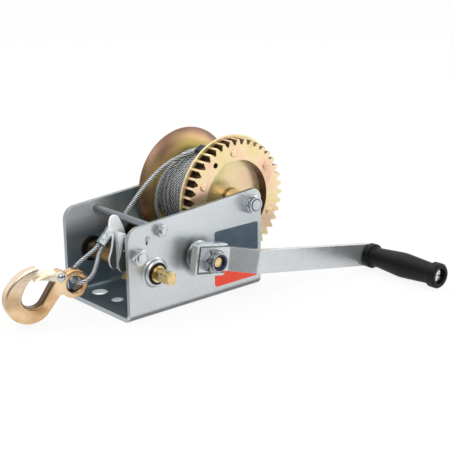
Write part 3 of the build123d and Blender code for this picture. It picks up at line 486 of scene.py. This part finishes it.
def moulded(name, look):
    finish, tree, shader, place = newFinish(name)
    drift = cloud(tree, place, *look["drift"])
    grain = cloud(tree, place, *look["grain"])
    wearAndSheen, soft = edgeWearAndSheen(tree, look["edgeReach"])
    # rounded edges lighter: painted highlight, with wear
    share = calc(tree, "MULTIPLY_ADD", wearAndSheen, 0.5, weigh(tree, drift, 0.5, grain, 0.2))
    colour = ramp(tree, share, [(0.30, look["deep"]), (0.80, look["pale"])])
    if "foot" in look:  # the clamp's bright foot under its dark top
        foot = look["foot"]
        held = fall(tree, fromAxis(tree, place, foot["axis"]), foot["reach"])
        colour = mixColour(tree, held, colour, foot["tint"])
    rough = remap(tree, weigh(tree, grain, 0.4, drift, 0.6), *noiseSpan, *look["rough"])
    plug(tree, shader, Base_Color=colour, Roughness=rough,
         Normal=bump(tree, grain, look["grainDepth"], 0.6, soft))
    shader.inputs["Metallic"].default_value = look["metal"]
    shader.inputs["Specular IOR Level"].default_value = look["gloss"]
    return finish


# film on the side plate: a slate field over a red one
labelLook = {"left": 19.6, "right": 73.0, "low": 10.8, "high": 64.0, "corner": 2.6, "cornerSteps": 8,
             "face": -50.0, "thick": 0.22, "shoulder": 0.6, "inset": 0.12, "redTop": span(26.95, 27.05),
             "slate": tone(68, 86, 97), "slatePale": tone(82, 99, 110), "red": tone(252, 76, 54),
             "redPale": tone(255, 96, 74), "film": (90.0, 3.0, 0.6), "filmDepth": 0.02 * mm,
             "fibre": (1800.0, 2.0, 0.5), "rough": (0.34, 0.48), "gloss": 0.22}


def labelFilm(name, look):
    finish, tree, shader, place = newFinish(name)
    film = cloud(tree, place, *look["film"])
    fibre = cloud(tree, place, *look["fibre"])
    share = weigh(tree, fibre, 0.3, film, 0.7)
    upper = ramp(tree, share, [(0.35, look["slate"]), (0.65, look["slatePale"])])
    lower = ramp(tree, share, [(0.35, look["red"]), (0.65, look["redPale"])])
    above = climb(tree, parts(tree, place)["Z"], look["redTop"])
    plug(tree, shader, Base_Color=mixColour(tree, above, lower, upper),
         Roughness=remap(tree, film, *noiseSpan, *look["rough"]), Normal=bump(tree, film, look["filmDepth"], 0.3))
    shader.inputs["Specular IOR Level"].default_value = look["gloss"]
    return finish


finishes = {
    "sheet": zincSheet("zinc_sheet", sheetLook),
    "bar": zincSheet("zinc_bar", barLook),
    "pawl": zincSheet("pawl_plate", pawlLook),
    "tie": zincSheet("tie_tube", tieLook),
    "gold": yellowZinc("yellow_zinc", goldLook),
    "gear": yellowZinc("gear_zinc", gearLook),
    "rim": yellowZinc("rim_zinc", rimLook),
    "flange": yellowZinc("flange_zinc", flangeLook),
    "shaft": yellowZinc("shaft_zinc", shaftLook),
    "bronze": yellowZinc("hub_bronze", bronzeLook),
    "latch": yellowZinc("latch_zinc", latchLook),
    "hook": forgedPlate("forged_hook", hookLook),
    "bolt": brightPlate("bright_plate", boltLook),
    "nut": brightPlate("dull_plate", nutLook),
    "thread": brightPlate("threaded_plate", threadLook),
    "wire": strandWire("strand_wire", wireLook),
    "sleeve": pressedSleeve("pressed_sleeve", sleeveLook),
    "grip": moulded("grip_black", gripLook),
    "bush": moulded("bush_black", bushLook),
    "nylon": moulded("nylon_blue", nylonLook),
    "litNylon": moulded("nylon_lit_through", litNylonLook),
    "clamp": moulded("clamp_black", clampLook),
    "label": labelFilm("label_film", labelLook),
}
dressed = {
    "sheet": ["frame"],
    "bar": ["crank_arm", "drive_bracket", "axle_sleeve"],
    "tie": ["tie_sleeve"],
    "pawl": ["pawl"],
    "gold": ["drum_barrel", "gear_rivets", "drum_spacers"],
    "rim": ["near_flange"],
    "gear": ["drum_gear"],
    "latch": ["hook_latch"],
    "bronze": ["drum_bushes"],
    "flange": ["far_flange"],
    "shaft": ["crank_shaft", "slow_shaft", "drive_pinion", "middle_gear", "slow_pinion"],
    "hook": ["hook"],
    "bolt": ["tie_nut", "pawl_nut", "pawl_bolt", "axle_nut", "grip_bolt", "latch_rivet", "crank_circlip",
             "slow_circlip"],
    "nut": ["crank_nut"],
    "thread": ["tie_bolt", "axle_bolt"],
    "sleeve": ["ferrule"],
    "grip": ["hand_grip"],
    "bush": ["crank_near_bush", "crank_far_bush", "slow_near_bush", "slow_far_bush"],
    "nylon": ["crank_nut_ring"],
    "litNylon": ["axle_nut_ring"],
    "clamp": ["cable_clamp"],
}
for finishName, members in dressed.items():
    for member in members:
        nodes[member].data.materials.clear()
        nodes[member].data.materials.append(finishes[finishName])
print("winch: finishes on,", len(finishes))


# the cable: six strands laid round a core, along a spline
ropeLook = {"diameter": 4.0 * mm, "strands": 6, "lay": 21.0 * mm, "strandFit": 1.02, "coreFit": 0.96,
            "sides": 10, "step": 1.1 * mm, "detail": 24}
woundRope = dict(ropeLook, sides=8, step=1.5 * mm, detail=12)
innerRope = dict(ropeLook, sides=5, step=2.4 * mm, detail=12)


def newRoute(name, points):  # a smooth spline with these control points
    data = bpy.data.curves.new(name, "CURVE")
    data.dimensions = "3D"
    spline = data.splines.new("NURBS")
    spline.points.add(len(points) - 1)
    for held, point in zip(spline.points, points):
        held.co = (*point, 1.0)
    spline.order_u = 3
    spline.use_endpoint_u = True
    return data, spline


def routeLine(name, points, detail):  # the points along such a spline
    data, spline = newRoute(name, points)
    spline.resolution_u = detail
    data.resolution_u = detail
    guide = bpy.data.objects.new(name, data)
    mesh = bpy.data.meshes.new_from_object(guide)
    line = [v.co.copy() for v in mesh.vertices]
    bpy.data.meshes.remove(mesh)
    bpy.data.objects.remove(guide)
    bpy.data.curves.remove(data)
    return line


def thinOut(line, step):
    kept = [line[0]]
    for point in line[1:]:
        if (point - kept[-1]).length >= step:
            kept.append(point)
    if (line[-1] - kept[-1]).length > 0.3 * step:
        kept.append(line[-1])
    else:
        kept[-1] = line[-1]
    return kept


def carriedFrames(line):  # a tangent and a side direction at each point, carried along without twist
    last = len(line) - 1
    tangents = [(line[min(i + 1, last)] - line[max(i - 1, 0)]).normalized() for i in range(last + 1)]
    side = tangents[0].orthogonal().normalized()
    sides = [side]
    for before, after in zip(tangents, tangents[1:]):
        side = before.rotation_difference(after) @ side
        side = (side - after * side.dot(after)).normalized()
        sides.append(side)
    return tangents, sides


def newPiece(name, verts, faces, finish, uvs=None):
    mesh = bpy.data.meshes.new(name)
    mesh.from_pydata(verts, [], faces)
    mesh.polygons.foreach_set("use_smooth", [True] * len(mesh.polygons))
    if uvs:
        layer = mesh.uv_layers.new(name="along")
        for loop in mesh.loops:
            layer.data[loop.index].uv = uvs[loop.index]
    mesh.materials.append(finish)
    mesh.update()
    made = bpy.data.objects.new(name, mesh)
    scene.collection.objects.link(made)
    return made


def rope(name, points, look, finish):
    line = thinOut(routeLine(name + "_route", points, look["detail"]), look["step"])
    tangents, sides = carriedFrames(line)
    along = [0.0]
    for a, b in zip(line, line[1:]):
        along.append(along[-1] + (b - a).length)
    thin = look["diameter"] / 6.0  # a strand is a third as thick as the rope
    helix = look["diameter"] / 2.0 - thin
    count = look["sides"]
    verts, faces, uvs = [], [], []
    for strand in range(look["strands"] + 1):  # the last one is the core
        core = strand == look["strands"]
        radius = thin * look["coreFit" if core else "strandFit"]
        slope = 0.0 if core else math.tau * helix / look["lay"]
        first = len(verts)
        for point, ahead, side, far in zip(line, tangents, sides, along):
            turn = math.tau * (far / look["lay"] + strand / look["strands"])
            across = ahead.cross(side)
            out = side * math.cos(turn) + across * math.sin(turn)
            over = across * math.cos(turn) - side * math.sin(turn)
            wide = (ahead + over * slope).normalized().cross(out)
            middle = point if core else point + out * helix
            for k in range(count):
                bend = math.tau * k / count
                verts.append(middle + (out * math.cos(bend) + wide * math.sin(bend)) * radius)
        rings = len(line)
        for i in range(rings - 1):
            for k in range(count):
                a, b = first + i * count + k, first + i * count + (k + 1) % count
                faces.append((a, b, b + count, a + count))
                uvs += [(k / count, along[i]), ((k + 1) / count, along[i]),
                        ((k + 1) / count, along[i + 1]), (k / count, along[i + 1])]
        start = [first + k for k in range(count)]
        stop = [first + (rings - 1) * count + k for k in range(count)]
        faces.append(tuple(reversed(start)))
        faces.append(tuple(stop))
        uvs += [(0.0, 0.0)] * count + [(0.0, along[-1])] * count
    return newPiece(name, verts, faces, finish, uvs), line


# the drum's axis and its layers of cable, in millimetres
woundLook = {"axis": (61.0, 83.7), "radius": 37.0, "pitch": 4.39, "turns": 10.6, "start": -16.6, "perTurn": 16,
             "slack": 4.6, "slackAt": 192.0, "slackHalf": 60.0, "slackFrom": 17.5, "slackFull": 29.5,
             "slackBend": 0.8}
innerLook = {"radius": 32.85, "first": -18.3, "last": 29.3, "turns": 11, "from": -60.0, "slackShare": 0.4}


def controlReach(radius, perTurn):  # where control points lie for a spline that runs at a radius
    return radius / (0.75 + 0.25 * math.cos(math.tau / perTurn))


def onDrum(radius, y, angle, perTurn):
    reach = controlReach(radius, perTurn)
    x, z = woundLook["axis"]
    return Vector((x + reach * math.cos(angle), y, z + reach * math.sin(angle))) * mm


def eased(stations, angle):  # a value that passes smoothly through its stations
    for (a0, v0), (a1, v1) in zip(stations, stations[1:]):
        if angle <= a1:
            break
    share = min(1.0, max(0.0, (angle - a0) / (a1 - a0)))
    return v0 + (v1 - v0) * share * share * (3 - 2 * share)


def slack(y, angle):  # how far a turn hangs off the drum
    look = woundLook
    off = (math.degrees(angle) - look["slackAt"] + 180.0) % 360.0 - 180.0
    if abs(off) >= look["slackHalf"] or y <= look["slackFrom"]:
        return 0.0
    far = min(1.0, (y - look["slackFrom"]) / (look["slackFull"] - look["slackFrom"]))
    return look["slack"] * far ** look["slackBend"] * math.cos(math.pi / 2 * off / look["slackHalf"]) ** 2


def woundPoints():
    look = woundLook
    points = []
    for k in range(round(look["turns"] * look["perTurn"]) + 1):
        angle = math.tau * k / look["perTurn"]
        y = look["start"] + look["pitch"] * k / look["perTurn"]
        points.append(onDrum(look["radius"] + slack(y, angle), y, angle, look["perTurn"]))
    return points


def innerPoints():
    look, perTurn = innerLook, woundLook["perTurn"]
    count = look["turns"] * perTurn
    step = (look["last"] - look["first"]) / count
    points = []
    for k in range(count + 1):
        angle = math.radians(look["from"]) + math.tau * k / perTurn
        y = look["first"] + step * k
        points.append(onDrum(look["radius"] + look["slackShare"] * slack(y, angle), y, angle, perTurn))
    return points


def cable(name, points, look, body, node):
    made, line = rope(name, points, look, finishes["wire"])
    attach(made, body)
    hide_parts(node)
    return made, line


woundLine = cable("wound_cable", woundPoints(), woundRope, "drum", "cable_winding")[1]
innerLine = cable("inner_turns", innerPoints(), innerRope, "drum", "cable_core")[1]
print("winch: drum wound,", len(woundLine), "and", len(innerLine), "rings")

# the free cable: one loose turn, down under the tie bolt and into the sleeve, then the loop and the cut end
leadLook = {"bed": 41.35, "first": -470.0, "last": 96.0, "perTurn": 16,
            "lift": [(-470, 0.0), (-250, 0.0), (-212, 4.4), (-180, 5.2), (-160, 8.0), (-135, 8.6), (-100, 6.5),
                     (5, 4.45), (96, 0.0)],
            "across": [(-470, 17.4), (-330, 16.8), (-250, 15.0), (-170, 28.0), (-120, 28.6), (20, 12.2),
                       (96, 10.5)],
            "route": [(34.0, 10.7, 123.4), (10.0, 10.9, 116.4), (-14.0, 11.2, 99.4), (-27.5, 11.24, 86.4),
                      (-44.61, 11.27, 68.85)]}
loopLook = {"route": [(-60.31, 11.30, 53.39), (-65.30, 11.31, 48.47), (-73.2, 2.2, 43.8), (-88.0, -10.2, 35.2),
                      (-101.62, -8.38, 32.56), (-97.63, 10.40, 32.56), (-92.0, 11.4, 41.2), (-76.5, 13.4, 47.6),
                      (-66.78, 14.11, 51.41), (-62.51, 14.10, 55.62)]}
tailLook = {"route": [(-46.80, 14.07, 71.08), (-45.73, 14.07, 72.14), (-44.67, 14.06, 73.19)]}


def routePoints(look):
    return [Vector(p) * mm for p in look["route"]]


def leadPoints():
    look = leadLook
    steps = math.ceil((look["last"] - look["first"]) / 360.0 * look["perTurn"])
    points = []
    for k in range(steps + 1):
        angle = look["first"] + (look["last"] - look["first"]) * k / steps
        radius = look["bed"] + eased(look["lift"], angle)
        points.append(onDrum(radius, eased(look["across"], angle), math.radians(angle), look["perTurn"]))
    return points + routePoints(look)


def lineLength(line):
    return sum((b - a).length for a, b in zip(line, line[1:]))


def freeCable(name, points, node):
    made, line = cable(name, points, ropeLook, "base", node)
    print("winch:", name, round(lineLength(line) * 1000, 1), "mm")
    return made, line


leadCable, leadLine = freeCable("lead_cable", leadPoints(), "cable_lead")
loopCable, loopLine = freeCable("hook_loop", routePoints(loopLook), "cable_loop")
tailCable = freeCable("cable_cut_end", routePoints(tailLook), "cable_tail")[0]


# springs of round wire, in millimetres
pawlSpring = {"axis": (-67.6, 60.2), "radius": 5.6, "wire": 1.0, "first": 108.0, "turns": 2.0, "perTurn": 14,
              "y": -44.7, "pitch": 1.45, "foot": 7.0,
              "leg": [(-54.2, -51.1, 73.4), (-54.2, -51.1, 75.4), (-56.8, -51.1, 75.4), (-56.8, -51.1, 71.4),
                      (-56.8, -51.1, 69.6), (-56.8, -48.0, 69.6), (-56.8, -45.3, 69.6), (-58.2, -45.2, 69.1)]}
latchSpring = {"axis": (-26.0, 11.0), "radius": 1.4, "wire": 0.6, "first": 0.0, "turns": 3.25, "perTurn": 12,
               "y": -1.79, "pitch": 1.1, "leg": 1.5, "eye": (-101.3, 0.5, 31.6), "turn": 12.0}
wireDetail = {"round": 3, "along": 5}


def coil(look):
    x, z = look["axis"]
    perTurn = look["perTurn"]
    reach = controlReach(look["radius"], perTurn)
    points = []
    for k in range(round(look["turns"] * perTurn) + 1):
        angle = math.radians(look["first"]) + math.tau * k / perTurn
        y = look["y"] + look["pitch"] * k / perTurn
        points.append(Vector((x + reach * math.cos(angle), y, z + reach * math.sin(angle))))
    return points


def roundWire(name, points, look, body, node):
    data = newRoute(name, points)[0]
    data.bevel_depth = look["wire"] * mm / 2
    data.bevel_resolution = wireDetail["round"]
    data.use_fill_caps = True
    data.resolution_u = wireDetail["along"]
    data.materials.append(finishes["bolt"])
    made = bpy.data.objects.new(name, data)
    scene.collection.objects.link(made)
    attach(made, body)
    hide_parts(node)
    return made


def pawlSpringPoints():
    turns = coil(pawlSpring)
    foot = turns[-1] + (turns[-1] - turns[-2]).normalized() * pawlSpring["foot"]
    return [p * mm for p in [Vector(q) for q in pawlSpring["leg"]] + turns + [foot]]


def latchSpringPoints():
    look = latchSpring
    turns = coil(look)
    start = turns[0] - (turns[1] - turns[0]).normalized() * look["leg"]
    end = turns[-1] + (turns[-1] - turns[-2]).normalized() * look["leg"]
    swing = Matrix.Rotation(math.radians(-look["turn"]), 3, "Z")
    return [(swing @ p + Vector(look["eye"])) * mm for p in [start] + turns + [end]]


roundWire("pawl_torsion_spring", pawlSpringPoints(), pawlSpring, "base", "pawl_spring")
latchCoil = roundWire("latch_coil_spring", latchSpringPoints(), latchSpring, "latch", "latch_spring")
print("winch: springs wound")


def makeLabel(look):
    left, right, low, high, corner = (look[key] for key in ("left", "right", "low", "high", "corner"))
    middles = [(right - corner, high - corner, 0), (left + corner, high - corner, 90),
               (left + corner, low + corner, 180), (right - corner, low + corner, 270)]
    outline = []
    for x, z, first in middles:
        for k in range(look["cornerSteps"] + 1):
            angle = math.radians(first + 90 * k / look["cornerSteps"])
            outline.append((x + corner * math.cos(angle), z + corner * math.sin(angle)))
    count = len(outline)
    centre = ((left + right) / 2, (low + high) / 2)
    face, thick = look["face"], look["thick"]
    verts, faces = [], []
    for inset, y in ((0.0, face), (0.0, face - look["shoulder"] * thick), (look["inset"], face - thick)):
        for x, z in outline:
            shrink = [math.copysign(inset, a - b) for a, b in ((x, centre[0]), (z, centre[1]))]
            verts.append(((x - shrink[0]) * mm, y * mm, (z - shrink[1]) * mm))
    for ring in (0, 1):
        for k in range(count):
            a, b = ring * count + k, ring * count + (k + 1) % count
            faces.append((a, b, b + count, a + count))
    faces.append(tuple(range(2 * count, 3 * count)))
    faces.append(tuple(reversed(range(count))))
    made = newPiece("side_label", verts, faces, finishes["label"])
    made.data.polygons.foreach_set("use_smooth", [False] * len(made.data.polygons))
    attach(made, "base")


makeLabel(labelLook)
print("winch: label on")


# floor, world and lamps
white = (1, 1, 1, 1)
stageLook = {"floor": tone(246, 246, 246), "floorSize": 30.0, "drop": 0.3 * mm, "fill": 0.92, "shown": 0.88,
             "mirrored": 0.60}
curtainLook = {"radius": 2.4, "from": 165.0, "to": 300.0, "low": 0.12, "high": 1.9, "steps": 24, "tone": 0.20,
               "tableAndShadeCards": [(-0.9, -0.9, 0.0, -0.13), (-0.088, -0.0555, 0.092, -0.0465)], "cardHeight": 0.5 * mm}
lampAim = (0.05, 0.0, 0.05)
lamps = [{"name": "key", "spot": (-0.9, -1.3, 1.7), "size": 1.3, "power": 11.0},
         {"name": "side", "spot": (1.6, -0.7, 1.0), "size": 1.0, "power": 5.0},
         {"name": "top", "spot": (0.2, 0.9, 1.8), "size": 1.2, "power": 7.0}]


def bareFinish(name):
    finish = bpy.data.materials.new(name)
    finish.use_nodes = True
    finish.node_tree.nodes.clear()
    return finish, finish.node_tree


def makeFloor(look):
    half = look["floorSize"] / 2
    verts = [(x * half, y * half, -look["drop"]) for x, y in ((-1, -1), (1, -1), (1, 1), (-1, 1))]
    finish, tree = bareFinish("floor_paper")
    path = addNode(tree, "ShaderNodeLightPath").outputs
    mirrored = calc(tree, "MAXIMUM", path["Is Glossy Ray"], path["Is Transmission Ray"])
    paper = addNode(tree, "ShaderNodeBsdfDiffuse", {"Color": look["floor"]})
    glow = addNode(tree, "ShaderNodeEmission", {"Color": white, "Strength": 1.0})
    share = calc(tree, "MAXIMUM", times(tree, path["Is Camera Ray"], look["shown"]),
                 times(tree, mirrored, look["mirrored"]))
    both = addNode(tree, "ShaderNodeMixShader", {0: share, 1: paper.outputs[0], 2: glow.outputs[0]})
    addNode(tree, "ShaderNodeOutputMaterial", {"Surface": both.outputs[0]})
    floor = newPiece("paper_floor", verts, [(0, 1, 2, 3)], finish)


def makeWorld(look):
    world = bpy.data.worlds.new("studio")
    world.use_nodes = True
    scene.world = world
    tree = world.node_tree
    tree.nodes.clear()
    path = addNode(tree, "ShaderNodeLightPath").outputs
    mirrored = calc(tree, "MAXIMUM", path["Is Glossy Ray"], path["Is Transmission Ray"])
    seen = calc(tree, "MAXIMUM", path["Is Camera Ray"], mirrored)
    strength = remap(tree, seen, 0.0, 1.0, look["fill"], 1.0)
    sky = addNode(tree, "ShaderNodeBackground", {"Color": white, "Strength": strength})
    addNode(tree, "ShaderNodeOutputWorld", {"Surface": sky.outputs[0]})


def makeCurtain(look):  # the dark room behind the camera and dark cards on the floor, which only the metal mirrors; the strip along the near plate's foot is painted shade of the floor in its reflection
    verts, faces = [], []
    for k in range(look["steps"] + 1):
        angle = math.radians(look["from"] + (look["to"] - look["from"]) * k / look["steps"])
        x, y = look["radius"] * math.cos(angle), look["radius"] * math.sin(angle)
        verts += [(x, y, look["low"]), (x, y, look["high"])]
        if k:
            faces.append((2 * k - 2, 2 * k, 2 * k + 1, 2 * k - 1))
    # dark cards on the floor seen only in reflections: a dark table patch in front, and painted floor shade along
    # the near plate
    for left, front, right, back in look["tableAndShadeCards"]:
        count = len(verts)
        corners = ((left, front), (right, front), (right, back), (left, back))
        verts += [(x, y, look["cardHeight"]) for x, y in corners]
        faces.append(tuple(range(count, count + 4)))
    finish, tree = bareFinish("dark_curtain")
    glow = addNode(tree, "ShaderNodeEmission", {"Color": white, "Strength": look["tone"]})
    addNode(tree, "ShaderNodeOutputMaterial", {"Surface": glow.outputs[0]})
    curtain = newPiece("dark_curtain", verts, faces, finish)
    for ray in ("camera", "diffuse", "transmission", "volume_scatter", "shadow"):
        setattr(curtain, "visible_" + ray, False)


def makeLamp(look):
    data = bpy.data.lights.new(look["name"], "AREA")
    data.shape = "SQUARE"
    data.size = look["size"]
    data.energy = look["power"]
    made = bpy.data.objects.new(look["name"], data)
    made.location = look["spot"]
    made.rotation_euler = (Vector(lampAim) - Vector(look["spot"])).to_track_quat("-Z", "Y").to_euler()
    scene.collection.objects.link(made)


makeFloor(stageLook)
makeWorld(stageLook)
makeCurtain(curtainLook)
for lamp in lamps:
    makeLamp(lamp)
print("winch: stage lit")
